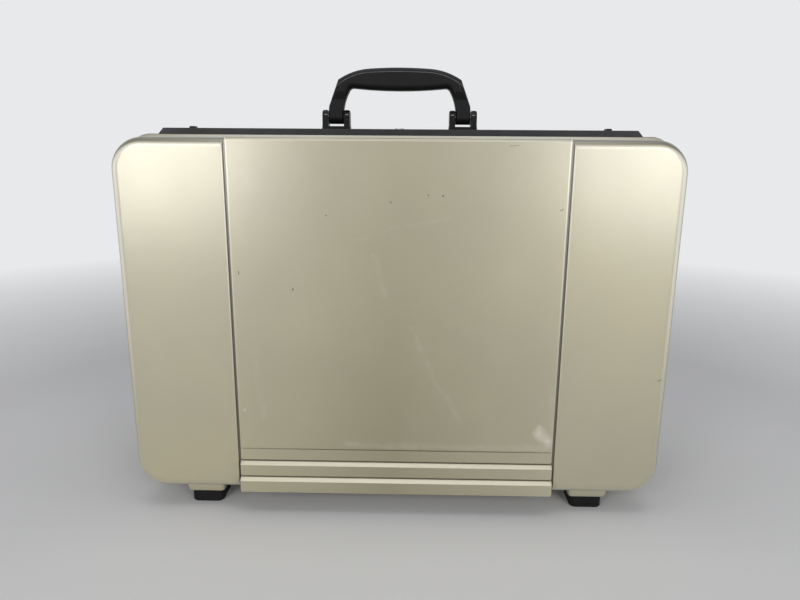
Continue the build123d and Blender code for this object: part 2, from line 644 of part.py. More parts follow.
def build():
    """Every piece of the case by name."""
    pieces = {}
    half_shell = shell()
    pieces["front_shell"] = half_shell
    pieces["rear_shell"] = rear(half_shell)

    half_frame = frame()
    pieces["lid_frame"] = half_frame
    groove_end = PARTING_GAP + GASKET_DEPTH
    groove = ring(GASKET_INSET, GASKET_INSET + GASKET_WIDTH, 0, groove_end)
    pieces["base_frame"] = rear(half_frame - groove)
    inner = GASKET_INSET + GASKET_WIDTH - GASKET_CLEAR
    pieces["gasket"] = rear(ring(GASKET_INSET + GASKET_CLEAR, inner, GASKET_CLEAR / 2, groove_end))

    front_strip = top_strip(PARTING_GAP - FRAME_BAND, -PARTING_GAP)
    front_strip -= tongue(FIT / 2)
    front_strip -= left(tongue(FIT / 2))
    front_strip -= keeper(FIT / 2)
    pieces["top_strip_front"] = front_strip

    rear_strip = top_strip(PARTING_GAP, STRIP_REAR)
    room_x, room_y = latch_room()
    slot_x = (LATCH_X - KNOB_WIDTH / 2 - FIT, LATCH_X + KNOB_WIDTH / 2 + LATCH_TRAVEL + FIT)
    slot_y = (HANDLE_Y - KNOB_DEPTH / 2 - FIT, HANDLE_Y + KNOB_DEPTH / 2 + FIT)
    latch_space = block(room_x, room_y, (RIM_TOP - 1, ROOF))
    latch_space += block(slot_x, slot_y, (ROOF - 1, STRIP_TOP + 1))
    latch_space += tongue(FIT)
    lock_x, lock_y = lock_room()
    rear_strip -= latch_space
    rear_strip -= left(latch_space)
    rear_strip -= block(lock_x, lock_y, (RIM_TOP - 1, ROOF))
    rear_strip -= upright(0, HANDLE_Y, (ROOF - 1, STRIP_TOP + 1), PLUG_DIAMETER + 4 * RUNNING_FIT)
    arm = CAM_LENGTH + KEEPER_GAP
    mouth = (arm - KEEPER_TOOTH - 2 * FIT, arm + KEEPER_ARM + 2 * FIT)
    mouth_z = (TONGUE_LOW - FIT, TONGUE_LOW + TONGUE_THICK + FIT)
    pieces["top_strip_rear"] = rear_strip - block(mouth, (0, STRIP_FRONT_WALL), mouth_z)

    for name, piece in (
        ("latch_tongue", tongue()),
        ("latch_tray", latch_tray()),
        ("latch_slider", latch_slider()),
        ("latch_spring", latch_spring()),
    ):
        pieces[name + "_right"] = piece
        pieces[name + "_left"] = left(piece)

    pieces["lock_body"] = lock_body()
    pieces["lock_cam"] = lock_cam()
    pieces["lock_cylinder"] = lock_cylinder()
    pieces["lock_keeper"] = keeper()

    blank = handle_blank()
    bore = crosswise((-BIG, BIG), HANDLE_Y, PIN_Z, PIN_DIAMETER + 2 * RUNNING_FIT)
    above = cover_region()
    pieces["handle_body"] = blank - above - bore
    pieces["handle_cover"] = blank & above
    right_bracket = bracket()
    pieces["handle_bracket_right"] = right_bracket
    pieces["handle_bracket_left"] = left(right_bracket)
    right_pin = crosswise(pin_span(), HANDLE_Y, PIN_Z, PIN_DIAMETER)
    pieces["handle_pin_right"] = right_pin
    pieces["handle_pin_left"] = left(right_pin)

    for side, name in ((-1, "left"), (1, "right")):
        foot = rubber_foot(side)
        pieces["front_foot_" + name] = foot
        pieces["rear_foot_" + name] = rear(foot)

    for side, name in ((-1, "left"), (1, "right")):
        x = side * HINGE_X
        pieces["hinge_leaf_lid_" + name] = hinge_leaf(x, (1,), (0, 2))
        pieces["hinge_leaf_base_" + name] = rear(hinge_leaf(x, (0, 2), (1,)))
        span = (x - HINGE_LENGTH / 2, x + HINGE_LENGTH / 2)
        pieces["hinge_pin_" + name] = crosswise(span, 0, HINGE_Z, HINGE_PIN)

    floor, tray, island = lining()
    pieces["base_foam_floor"] = rear(floor)
    pieces["base_foam_tray"] = rear(tray)
    pieces["base_foam_island"] = rear(island)
    pieces["lid_foam"] = slab(FOAM_INSET, LID_FOAM_START, INNER_FACE - FOAM_CLEAR)
    return pieces


os.makedirs("parts", exist_ok=True)
for name, piece in build().items():
    export_step(piece, f"parts/{name}.step")
    print(name)
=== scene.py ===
# %% [markdown]
# # A carrying case for an endoscope, dressed for its picture
#
# The real object is a hard moulded case. Two champagne shells close on black frames, and a black
# strip on top carries the handle, two slide latches and a key lock. The construction comes ready
# from the frame, so this lesson adds the camera, the light, the soft foam inside, the small
# fasteners and every finish.

# %% Load the frame
import math

import bmesh
import bpy
import numpy as np
from mathutils import Matrix, Vector


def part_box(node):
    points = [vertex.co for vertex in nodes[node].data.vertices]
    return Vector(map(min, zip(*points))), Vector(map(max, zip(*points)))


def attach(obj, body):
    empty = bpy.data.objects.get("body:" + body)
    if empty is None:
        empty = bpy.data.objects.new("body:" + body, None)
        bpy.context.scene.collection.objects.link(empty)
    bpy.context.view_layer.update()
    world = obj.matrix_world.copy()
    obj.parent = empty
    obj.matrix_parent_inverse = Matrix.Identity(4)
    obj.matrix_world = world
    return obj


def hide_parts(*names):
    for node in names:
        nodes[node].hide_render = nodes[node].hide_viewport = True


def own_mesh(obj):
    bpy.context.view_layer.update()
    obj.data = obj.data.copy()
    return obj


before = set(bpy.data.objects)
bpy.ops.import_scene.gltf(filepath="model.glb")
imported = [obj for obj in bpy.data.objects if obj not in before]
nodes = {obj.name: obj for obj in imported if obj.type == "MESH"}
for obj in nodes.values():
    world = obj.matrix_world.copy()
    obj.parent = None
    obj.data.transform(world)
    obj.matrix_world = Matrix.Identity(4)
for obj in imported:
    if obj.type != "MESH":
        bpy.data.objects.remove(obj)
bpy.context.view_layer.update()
scene = bpy.context.scene
scene.view_settings.view_transform = "Standard"

# %% [markdown]
# ## Camera
#
# The picture was taken from a little above the middle of the case with a wide phone lens. The
# place, the lens and the three small turns below come from fitting the rim, the seams, the ribs
# and the feet, so the outlines land on the same pixels as in the photograph.

# %% Camera
CAMERA_PLACE = Vector((0.0165, -0.7981, 0.4318))
CAMERA_LENS = 29.25
CAMERA_TURNS = (("Z", 1.03), ("X", 90 - 13.42), ("Z", 0.41))

camera = bpy.data.objects.new("camera", bpy.data.cameras.new("camera"))
camera.data.lens = CAMERA_LENS
scene.collection.objects.link(camera)
turned = Matrix.Identity(4)
for axis, degrees in CAMERA_TURNS:
    turned = turned @ Matrix.Rotation(math.radians(degrees), 4, axis)
camera.matrix_world = Matrix.Translation(CAMERA_PLACE) @ turned
scene.camera = camera
print("camera at", tuple(camera.location), "lens", camera.data.lens)

# %% [markdown]
# ## Node helpers
#
# Each finish is one Principled shader fed by textures in object coordinates, which are metres
# here. A helper adds a node with its settings and wires its inputs, so that a material reads as a
# short list of what feeds what.


# %% Node helpers
class Finish:
    """One material under construction: its node tree, its shader and its object coordinates."""

    def __init__(self, name, roughness, metallic=0.0):
        self.material = bpy.data.materials.new(name)
        self.material.use_nodes = True
        self.tree = self.material.node_tree
        self.shader = self.tree.nodes["Principled BSDF"]
        self.shader.inputs["Roughness"].default_value = roughness
        self.shader.inputs["Metallic"].default_value = metallic
        self.coordinates = self.add("ShaderNodeTexCoord").outputs
        self.place = self.coordinates["Object"]

    def add(self, kind, inputs=None, **settings):
        """A new node. inputs gives a value or the socket that feeds each named input."""
        node = self.tree.nodes.new(kind)
        for key, value in settings.items():
            setattr(node, key, value)
        for key, value in (inputs or {}).items():
            self.feed(node.inputs[key], value)
        return node

    def feed(self, socket, value):
        """Wires a socket, or sets its constant."""
        if isinstance(value, bpy.types.NodeSocket):
            self.tree.links.new(value, socket)
        else:
            socket.default_value = value

    def noise(self, scale, detail=2.0, stretch=(1, 1, 1), rough=0.5):
        """Noise of about one feature in 1/scale metres, squeezed along the axes by stretch."""
        place = self.place
        if stretch != (1, 1, 1):
            place = self.add("ShaderNodeMapping", {"Vector": place, "Scale": stretch}).outputs[0]
        inputs = {"Vector": place, "Scale": scale, "Detail": detail, "Roughness": rough}
        return self.add("ShaderNodeTexNoise", inputs).outputs["Fac"]

    def noise_colour(self, scale, detail=2.0):
        """Three noises at once, as a vector."""
        inputs = {"Vector": self.place, "Scale": scale, "Detail": detail}
        return self.add("ShaderNodeTexNoise", inputs).outputs["Color"]

    def cells(self, scale):
        """Distance to the nearest of points spread about 1/scale metres apart."""
        inputs = {"Vector": self.place, "Scale": scale}
        return self.add("ShaderNodeTexVoronoi", inputs).outputs["Distance"]

    def between(self, value, low, high, first=0.0, last=1.0):
        """value carried from low..high to first..last, and held there outside."""
        inputs = {"Value": value, "From Min": low, "From Max": high}
        inputs.update({"To Min": first, "To Max": last})
        return self.add("ShaderNodeMapRange", inputs, clamp=True).outputs["Result"]

    def math(self, operation, first, second=0.0):
        """Arithmetic on two values."""
        return self.add("ShaderNodeMath", {0: first, 1: second}, operation=operation).outputs[0]

    def product(self, *values):
        """All values multiplied together."""
        total = values[0]
        for value in values[1:]:
            total = self.math("MULTIPLY", total, value)
        return total

    def mix(self, factor, first, second):
        """Colour between two others. The colour sockets share their names with others."""
        sockets = {0: factor, 6: first, 7: second}
        return self.add("ShaderNodeMix", sockets, data_type="RGBA").outputs[2]

    def bump(self, height, distance, strength=1.0, below=None):
        """Normal pushed by a height that spans distance metres, on top of another bump."""
        inputs = {"Height": height, "Distance": distance, "Strength": strength}
        if below is not None:
            inputs["Normal"] = below
        return self.add("ShaderNodeBump", inputs).outputs["Normal"]

    def vector(self, operation, *values, result="Vector"):
        """Arithmetic on whole vectors."""
        inputs = dict(enumerate(values))
        return self.add("ShaderNodeVectorMath", inputs, operation=operation).outputs[result]

    def spot(self, centre, radius, place=None):
        """1 at a point and 0 from radius metres away."""
        apart = self.vector("DISTANCE", place or self.place, centre, result="Value")
        return self.between(apart, 0.0, radius, 1.0, 0.0)

    def streak(self, first, last, half, place=None):
        """1 on the straight line between two points and 0 from half metres beside it.

        The nearest point of the line is first plus the run times how far along the point lies.
        """
        run = [end - start for start, end in zip(first, last)]
        apart = self.vector("SUBTRACT", place or self.place, first)
        along = self.vector("DOT_PRODUCT", apart, run, result="Value")
        along = self.between(along, 0.0, sum(v * v for v in run))
        spread = self.add("ShaderNodeCombineXYZ", {0: along, 1: along, 2: along}).outputs[0]
        nearest = self.vector("MULTIPLY", spread, run)
        gap = self.vector("DISTANCE", apart, nearest, result="Value")
        return self.between(gap, 0.0, half, 1.0, 0.0)

    def most(self, values):
        """Largest of several values."""
        total = values[0]
        for value in values[1:]:
            total = self.math("MAXIMUM", total, value)
        return total

    def tone(self):
        """What feeds the base colour so far."""
        return self.shader.inputs["Base Color"].links[0].from_socket

    def set(self, **sockets):
        """Feeds the shader's sockets, named with _ for a space."""
        for key, value in sockets.items():
            self.feed(self.shader.inputs[key.replace("_", " ")], value)
        return self.material


def shade(red, green, blue):
    """Linear colour from the 0 to 255 levels of a screen colour."""
    levels = np.array((red, green, blue)) / 255.0
    linear = np.where(levels <= 0.04045, levels / 12.92, ((levels + 0.055) / 1.055) ** 2.4)
    return (*linear.tolist(), 1.0)


print("helpers ready; mid grey is", shade(128, 128, 128))

# %% [markdown]
# ## Floor
#
# A plain pale floor stands in for the studio. It could be a curved sweep of paper, but a flat
# disc that fades into the pale air with distance has no bend to hide, and it keeps the shadow of
# the case.

# %% Floor
FLOOR_RADIUS = 9.0
FLOOR_SEGMENTS = 96
FLOOR_TONE = (206, 206, 207)
FLOOR_CLOUD = (212, 212, 213)
FAR_TONE = (232, 233, 235)
FADE_START = 0.75
FADE_END = 2.0

turns = np.linspace(0, 2 * np.pi, FLOOR_SEGMENTS, endpoint=False)
rim = FLOOR_RADIUS * np.column_stack((np.cos(turns), np.sin(turns), 0 * turns))
floor_mesh = bpy.data.meshes.new("floor")
floor_mesh.from_pydata(rim.tolist(), [], [list(range(FLOOR_SEGMENTS))])
floor = bpy.data.objects.new("floor", floor_mesh)
scene.collection.objects.link(floor)


def fading_floor():
    """Pale matt floor that turns into the pale air with its distance from the case.

    The far part glows as the world does, for what the camera and reflections see. The near part
    keeps the shadow of the case.
    """
    plain = Finish("plain_floor", 0.7)
    plain.set(Base_Color=plain.mix(plain.noise(3.0), shade(*FLOOR_TONE), shade(*FLOOR_CLOUD)))
    far = plain.between(plain.vector("LENGTH", plain.place, result="Value"), FADE_START, FADE_END)
    rays = plain.add("ShaderNodeLightPath").outputs
    seen = plain.math("ADD", rays["Is Camera Ray"], rays["Is Glossy Ray"])
    seen = plain.math("ADD", seen, rays["Is Transmission Ray"])
    glow = plain.add("ShaderNodeEmission", {"Color": shade(*FAR_TONE), "Strength": 1.0})
    parts = {0: plain.product(far, seen), 1: plain.shader.outputs[0], 2: glow.outputs[0]}
    joined = plain.add("ShaderNodeMixShader", parts).outputs[0]
    plain.feed(plain.tree.nodes["Material Output"].inputs["Surface"], joined)
    return plain.material


floor_mesh.materials.append(fading_floor())
print("floor", FLOOR_RADIUS, "m in radius, pale air from", FADE_END, "m")

# %% [markdown]
# ## Light
#
# Two broad soft boxes stand in front, to the left and to the right, because the satin panels show
# a bright bloom near their upper outer corners and stay darker in the middle. A weaker overhead
# box lights the top, and a dim world fills the shadows.

# %% World and soft boxes
WORLD_FILL = 0.42
BOX_PLACE = (1.0, -1.75, 0.72)
BOX_TARGET = (0.25, 0.0, 0.35)
BOX_SIZE = (0.8, 1.1)
BOX_POWER = 15
TOP_PLACE = (0.0, -0.2, 2.2)
TOP_TARGET = (0.0, -0.1, 0.2)
TOP_SIZE = (1.7, 1.0)
TOP_POWER = 9


def soft_box(name, place, target, size, power):
    """Rectangular lamp at a place, facing a target."""
    lamp = bpy.data.lights.new(name, "AREA")
    lamp.shape = "RECTANGLE"
    lamp.size, lamp.size_y = size
    lamp.energy = power
    holder = bpy.data.objects.new(name, lamp)
    scene.collection.objects.link(holder)
    aim = (Vector(target) - Vector(place)).to_track_quat("-Z", "Y")
    holder.matrix_world = Matrix.Translation(place) @ aim.to_matrix().to_4x4()


def studio_world():
    """Pale air: full strength for what the camera and reflections see, weaker as a fill."""
    made = bpy.data.worlds.new("studio")
    made.use_nodes = True
    tree = made.node_tree
    rays = tree.nodes.new("ShaderNodeLightPath").outputs
    total = rays["Is Camera Ray"]
    for kind in ("Is Glossy Ray", "Is Transmission Ray"):
        plus = tree.nodes.new("ShaderNodeMath")
        tree.links.new(total, plus.inputs[0])
        tree.links.new(rays[kind], plus.inputs[1])
        total = plus.outputs[0]
    strength = tree.nodes.new("ShaderNodeMapRange")
    strength.inputs["To Min"].default_value = WORLD_FILL
    strength.inputs["To Max"].default_value = 1.0
    tree.links.new(total, strength.inputs["Value"])
    tree.links.new(strength.outputs["Result"], tree.nodes["Background"].inputs["Strength"])
    tree.nodes["Background"].inputs["Color"].default_value = shade(*FAR_TONE)
    return made


scene.world = studio_world()
for name, side in (("left_box", -1), ("right_box", 1)):
    place, target = ((side * spot[0], *spot[1:]) for spot in (BOX_PLACE, BOX_TARGET))
    soft_box(name, place, target, BOX_SIZE, BOX_POWER)
soft_box("top_box", TOP_PLACE, TOP_TARGET, TOP_SIZE, TOP_POWER)
print("three soft boxes and a fill of", WORLD_FILL)

# %% [markdown]
# ## Champagne shells
#
# The shells are moulded plastic under a satin metallic paint: a khaki base that is part flake and
# part plain pigment, under a clear coat that shows broad lamps as a pale bloom. The tones could
# be painted on an unwrapped picture. Here each one is a ramp over a measured distance or over the
# way the surface faces, so it stays sharp at any size and fits both shells.
#
# A ramp below has two or four numbers: where it starts and ends, and what it gives there, which
# is 0 and 1 if nothing is said.

# %% Where a point lies on the shell
SEAM_MIDDLE = 0.1861


def shell_places(paint):
    """How far a point lies from each middle plane and from the seam, and how it faces."""
    place = paint.add("ShaderNodeSeparateXYZ", {0: paint.place}).outputs
    facing = paint.add("ShaderNodeSeparateXYZ", {0: paint.coordinates["Normal"]}).outputs
    aside = paint.math("ABSOLUTE", place["X"])
    return {
        "aside": aside,
        "depth": paint.math("ABSOLUTE", place["Y"]),
        "height": place["Z"],
        "up": facing["Z"],
        "outward": paint.math("ABSOLUTE", facing["Y"]),
        "seam": paint.math("ABSOLUTE", paint.math("SUBTRACT", aside, SEAM_MIDDLE)),
    }


print("the seams lie", SEAM_MIDDLE, "m beside the middle")

# %% [markdown]
# ### Base colour
#
# The khaki drifts between a warmer and a greyer tone, and the flakes scatter points of a middle
# one. The panel is deeper along its middle, where the real paint mirrors the dark of a room that
# this plain studio doesn't have.

# %% Khaki base
PAINT = (164, 158, 131)
PAINT_WARM = (169, 161, 132)
PAINT_GREY = (159, 154, 131)
PAINT_DEEP = (136, 130, 101)
CLOUD_SCALE = 5.0
CLOUD_EDGES = (0.35, 0.65)
FLAKE_SCALE = 2600.0
FLAKE_SHARE = (0.3, 0.7, 0.0, 0.35)
DEEP_SCALE = 8.0
DEEP_WANDER = (0.3, 0.7, -0.02, 0.02)
DEEP_ASIDE = (0.0, 0.2, 0.9, 0.0)
DEEP_HEIGHT = (0.1, 0.42, 1.0, 0.6)


def khaki_base(paint, at):
    """Cloudy khaki with flakes, and a deeper tone in the middle of the panel."""
    cloud = paint.between(paint.noise(CLOUD_SCALE, 3.0), *CLOUD_EDGES)
    tone = paint.mix(cloud, shade(*PAINT_WARM), shade(*PAINT_GREY))
    flake = paint.between(paint.noise(FLAKE_SCALE, 1.0), *FLAKE_SHARE)
    tone = paint.mix(flake, tone, shade(*PAINT))
    wander = paint.between(paint.noise(DEEP_SCALE), *DEEP_WANDER)
    middle = paint.between(paint.math("ADD", at["aside"], wander), *DEEP_ASIDE)
    lower = paint.between(at["height"], *DEEP_HEIGHT)
    return paint.mix(paint.product(middle, lower), tone, shade(*PAINT_DEEP))


print("flakes of about", 1 / FLAKE_SCALE, "m")

# %% [markdown]
# ### Edges and seams
#
# Where a shell turns away from its face, painted shade makes the paint look olive, and along its
# outer edges and beside its seams a painted highlight lies as a pale line. The rim gets painted
# shade, the ledges of the ribs get a painted highlight, and painted shade darkens the seams and
# grooves. The shapes are in the construction already, so only the tones come from here. All these
# tones are the light and shade of the real room, which a plain studio lacks, so they are painted
# in.

# %% Edges and seams
SEAM_HALF = 0.0012
# Painted shade: the olive tone where the shell turns away from its face.
PAINTED_OLIVE_SHADE = (72, 69, 42)
HOLLOW_LEAST = 0.62
HOLLOW_UP_MORE = (0.0, 0.5, 0.0, 0.26)
HOLLOW_ASIDE = (0.1865, 0.1875)
HOLLOW_FADE = (-0.05, 0.1)
HOLLOW_DEPTH = (0.05, 0.078)
HOLLOW_UP = (0.0, 0.5, 0.5, 0.95)
# Painted highlight: the pale line on the outer edges and beside the seams.
GLINT = (238, 235, 222)
GLINT_HEIGHT = (0.1, 0.4, 0.1, 0.85)
GLINT_STARTS = (0.7, 0.8)
GLINT_ENDS = (0.95, 0.995, 1.0, 0.0)
GLINT_UP = (0.1, 0.5, 1.0, 0.0)
GLINT_DEPTH = (0.079, 0.082)
SEAM_GLINT = (SEAM_HALF, SEAM_HALF + 0.0024, 1.0, 0.0)
SEAM_GLINT_DEPTH = (0.0885, 0.0895)
# Painted shade on the rim.
RIM_SHADE = (128, 124, 106)
RIM_DEPTH = (0.02, 0.03, 0.75, 0.0)
# Painted highlight on the up-facing ledges of the ribs.
LEDGE_HIGHLIGHT = (226, 220, 192)
LEDGE_UP = (0.45, 0.7)
LEDGE_HEIGHT = (0.065, 0.07, 0.55, 0.0)
LEDGE_DEPTH = (0.088, 0.089)
# Painted shade in the seams and in the grooves between the ribs.
CREVICE_SHADE = (72, 67, 48)
GROOVES = (0.0643, 0.0457)
SEAM_SHADE = (SEAM_HALF, SEAM_HALF + 0.0003, 0.9, 0.0)
GROOVE_SHADE = (0.0008, 0.0013, 1.0, 0.0)
GROOVE_ASIDE = (SEAM_MIDDLE - SEAM_HALF, SEAM_MIDDLE, 0.9, 0.0)
SHADE_DEPTH = (0.082, 0.085)


def painted_olive_shade(paint, at, tone):
    """Painted olive shade where the surface faces outward less than HOLLOW_LEAST.

    Beside the panel the limit rises with how far the surface faces up.
    """
    more = paint.product(
        paint.between(at["up"], *HOLLOW_UP_MORE), paint.between(at["aside"], *HOLLOW_ASIDE))
    turned = paint.math("SUBTRACT", paint.math("ADD", more, HOLLOW_LEAST), at["outward"])
    share = paint.product(
        paint.between(turned, *HOLLOW_FADE),
        paint.between(at["depth"], *HOLLOW_DEPTH),
        paint.between(at["up"], *HOLLOW_UP))
    return paint.mix(share, tone, shade(*PAINTED_OLIVE_SHADE))


def painted_highlight_lines(paint, at, tone):
    """Painted highlight on the outer edges and beside the seams, fading towards the floor."""
    height = paint.between(at["height"], *GLINT_HEIGHT)
    outer = paint.product(
        paint.between(at["outward"], *GLINT_STARTS),
        paint.between(at["outward"], *GLINT_ENDS),
        paint.between(at["up"], *GLINT_UP),
        paint.between(at["depth"], *GLINT_DEPTH),
        height)
    beside = paint.product(
        paint.between(at["seam"], *SEAM_GLINT),
        paint.between(at["depth"], *SEAM_GLINT_DEPTH),
        height)
    return paint.mix(paint.most([outer, beside]), tone, shade(*GLINT))


def rim_shade_and_ledge_highlight(paint, at, tone):
    """Painted shade on the rim, and a painted highlight on the ledges where the ribs face up."""
    tone = paint.mix(paint.between(at["depth"], *RIM_DEPTH), tone, shade(*RIM_SHADE))
    share = paint.product(
        paint.between(at["up"], *LEDGE_UP),
        paint.between(at["height"], *LEDGE_HEIGHT),
        paint.between(at["depth"], *LEDGE_DEPTH))
    return paint.mix(share, tone, shade(*LEDGE_HIGHLIGHT))


def crevice_shade(paint, at, tone):
    """Painted shade in the two seams and in the grooves between them."""
    across = paint.between(at["aside"], *GROOVE_ASIDE)
    lines = [paint.between(at["seam"], *SEAM_SHADE)]
    for height in GROOVES:
        gap = paint.math("ABSOLUTE", paint.math("SUBTRACT", at["height"], height))
        lines.append(paint.product(across, paint.between(gap, *GROOVE_SHADE)))
    share = paint.product(paint.most(lines), paint.between(at["depth"], *SHADE_DEPTH))
    return paint.mix(share, tone, shade(*CREVICE_SHADE))


# Counts the seams and the grooves that carry the painted shade.
print("dirt in two seams and", len(GROOVES), "grooves")

# %% [markdown]
# ### Marks of use
#
# Years of use left cloudy handling marks, faint wipe arcs, a few dark nicks and a rubbed patch by
# the lower right seam. They sit at measured places on the front face, as metres across and up, so
# each is a small distance field round a line. A slow noise bends the soft ones and breaks them
# up, while the nicks stay sharp.

# %% Marks of use
FACE = -0.0906
NICK = (66, 60, 48)
RUBBED = (206, 202, 190)
WIPED = (190, 186, 170)
RUB = ((0.168, 0.105), (0.178, 0.092), 0.009)
EDGE_RUB = ((-0.058, 0.0862), (0.178, 0.0848), 0.006)
EDGE_RUB_SHARE = 0.18
CORNER_RUB = ((0.1805, 0.16), (0.1815, 0.092), 0.005)
CORNER_RUB_SHARE = 0.14
SPECK = (-0.1774, FACE, 0.1283)
SPECK_RADIUS = 0.0022
BLOOMS = ((-0.104, FACE, 0.4175), (-0.1641, FACE, 0.3939))
BLOOM_RADIUS = 0.016
BLOOM_SHARE = 0.6
WIPES = (
    ((-0.052, 0.33), (-0.002, 0.3436), 0.0034),
    ((-0.002, 0.3436), (0.058, 0.3555), 0.0028),
    ((-0.0066, 0.3403), (-0.006, 0.3304), 0.0026),
    ((-0.0248, 0.3128), (-0.0124, 0.2674), 0.0048),
    ((0.0183, 0.2294), (0.0412, 0.1747), 0.0052),
    ((0.0412, 0.1747), (0.0746, 0.1184), 0.0048),
    ((-0.1642, 0.2021), (-0.1534, 0.1148), 0.0052),
)
NICKS = (
    ((0.0334, 0.3795), (0.0336, 0.379), 0.0013),
    ((0.0492, 0.3788), (0.0497, 0.3782), 0.0016),
    ((-0.0071, 0.3714), (-0.0068, 0.3712), 0.0014),
    ((-0.0774, 0.3567), (-0.077, 0.3563), 0.0011),
    ((0.1762, 0.3641), (0.1794, 0.3652), 0.0008),
    ((-0.1764, 0.2935), (-0.1759, 0.2901), 0.0009),
    ((-0.1161, 0.2742), (-0.1162, 0.273), 0.0015),
    ((0.1186, 0.4313), (0.1286, 0.4321), 0.0005),
    ((0.2998, 0.1709), (0.3044, 0.1724), 0.0014),
    ((0.2955, 0.1092), (0.2985, 0.1088), 0.0009),
)
WANDER = 0.012
WANDER_SCALE = 60.0
WIPE_SCALE = 90.0
WIPE_PATCHES = (0.3, 0.65, 0.03, 0.14)
RUB_SCALE = 160.0
RUB_PATCHES = (0.3, 0.7, 0.35, 0.85)
NICK_EDGE = (0.2, 0.6, 0.0, 0.8)


def face_streak(paint, mark, place=None):
    """Streak on the front face, from its two ends and its half width."""
    (x, z), (end_x, end_z), half = mark
    return paint.streak((x, FACE, z), (end_x, FACE, end_z), half, place)


def worn_marks(paint, tone):
    """Wipe marks, nicks and rubbed places, and how far each point is rubbed."""
    wander = paint.vector("SUBTRACT", paint.noise_colour(WANDER_SCALE, 2.0), (0.5, 0.5, 0.5))
    wander = paint.vector("MULTIPLY", wander, (WANDER, WANDER, WANDER))
    drawn = paint.vector("ADD", paint.place, wander)
    soft = [face_streak(paint, mark, drawn) for mark in WIPES]
    soft += [paint.product(paint.spot(place, BLOOM_RADIUS, drawn), BLOOM_SHARE) for place in BLOOMS]
    patches = paint.between(paint.noise(WIPE_SCALE, 3.0), *WIPE_PATCHES)
    wiped = paint.product(paint.most(soft), patches)
    rubbed = paint.most([
        face_streak(paint, RUB, drawn),
        paint.product(face_streak(paint, EDGE_RUB, drawn), EDGE_RUB_SHARE),
        paint.product(face_streak(paint, CORNER_RUB, drawn), CORNER_RUB_SHARE),
        paint.spot(SPECK, SPECK_RADIUS),
    ])
    rubbed = paint.product(rubbed, paint.between(paint.noise(RUB_SCALE, 3.0), *RUB_PATCHES))
    nicked = paint.between(paint.most([face_streak(paint, mark) for mark in NICKS]), *NICK_EDGE)
    tone = paint.mix(wiped, tone, shade(*WIPED))
    tone = paint.mix(rubbed, tone, shade(*RUBBED))
    return paint.mix(nicked, tone, shade(*NICK)), rubbed


print(len(WIPES), "wipe marks and", len(NICKS), "nicks")

# %% [markdown]
# ### Clear coat
#
# The satin coat gives broad blooms, a little rougher where it is smeared or rubbed. It draws back
# from the seams in a soft shoulder, it has a fine orange peel, and the flakes show through as
# the smallest relief.

# %% Champagne paint
PAINT_ROUGHNESS = 0.3
PAINT_METAL = 0.25
COAT_ROUGHNESS = 0.26
COAT_INDEX = 1.75
SMEAR_SCALE = 14.0
SMEAR_STRETCH = (1.0, 1.0, 0.35)
SMEARS = (0.4, 0.7, 0.0, 0.07)
RUBBED_ROUGHNESS = 0.25
SEAM_ROUND = 0.0026
SHOULDER_DEPTH = 0.0002
PEEL_SCALE = 420.0
PEEL_DEPTH = 0.00004
FLAKE_DEPTH = 0.00001


def coat_relief(paint, at):
    """Normal with the seam's shoulder, the peel and the flakes.

    The shoulder falls as the square of the nearness, which is 1 at the seam's edge.
    """
    reach = paint.between(at["seam"], SEAM_HALF, SEAM_HALF + SEAM_ROUND)
    near = paint.math("SUBTRACT", 1.0, reach)
    shoulder = paint.math("SUBTRACT", 1.0, paint.product(near, near))
    soft = paint.bump(shoulder, SHOULDER_DEPTH)
    peel = paint.bump(paint.noise(PEEL_SCALE, 2.0), PEEL_DEPTH, below=soft)
    return paint.bump(paint.noise(FLAKE_SCALE, 1.0), FLAKE_DEPTH, below=peel)


def champagne_paint():
    """Satin metallic paint: base, marks of use, painted light and shade on edges, seams and ribs,
    and the clear coat over all.
    """
    paint = Finish("champagne_paint", PAINT_ROUGHNESS, metallic=PAINT_METAL)
    at = shell_places(paint)
    tone, rubbed = worn_marks(paint, khaki_base(paint, at))
    for step in (painted_olive_shade, painted_highlight_lines, rim_shade_and_ledge_highlight, crevice_shade):
        tone = step(paint, at, tone)
    smear = paint.between(paint.noise(SMEAR_SCALE, 5.0, stretch=SMEAR_STRETCH), *SMEARS)
    rough = paint.math("ADD", PAINT_ROUGHNESS, smear)
    rough = paint.math("ADD", rough, paint.product(rubbed, RUBBED_ROUGHNESS))
    skin = coat_relief(paint, at)
    return paint.set(Base_Color=tone, Roughness=rough, Normal=skin, Coat_Normal=skin,
                     Coat_Weight=1.0, Coat_Roughness=COAT_ROUGHNESS, Coat_IOR=COAT_INDEX)


champagne = champagne_paint()
print("made", champagne.name, "with", len(champagne.node_tree.nodes), "nodes")

# %% [markdown]
# ## Black plastics, rubber and steel
#
# The frames and the strip are moulded with a fine grain that scatters light. The handle is
# smoother. The real one is a little worn on top, where hands rub it, but here its gloss only
# varies a little all over. The feet are dull rubber, and the latch parts, pins and leaves are
# plated steel with faint drawing lines.


# %% Black and steel finishes
TONE_SCALE = 22.0
WEAR_SCALE = 35.0
WEAR_SMOOTHS = 0.05
WEAR_ROUGHENS = 0.06
STEEL_DARK = (188, 188, 190)
STEEL_LIGHT = (206, 206, 208)
STEEL_ROUGHNESS = (0.3, 0.7, 0.24, 0.38)
LINE_SCALE = 900.0
LINE_DEPTH = 0.00001


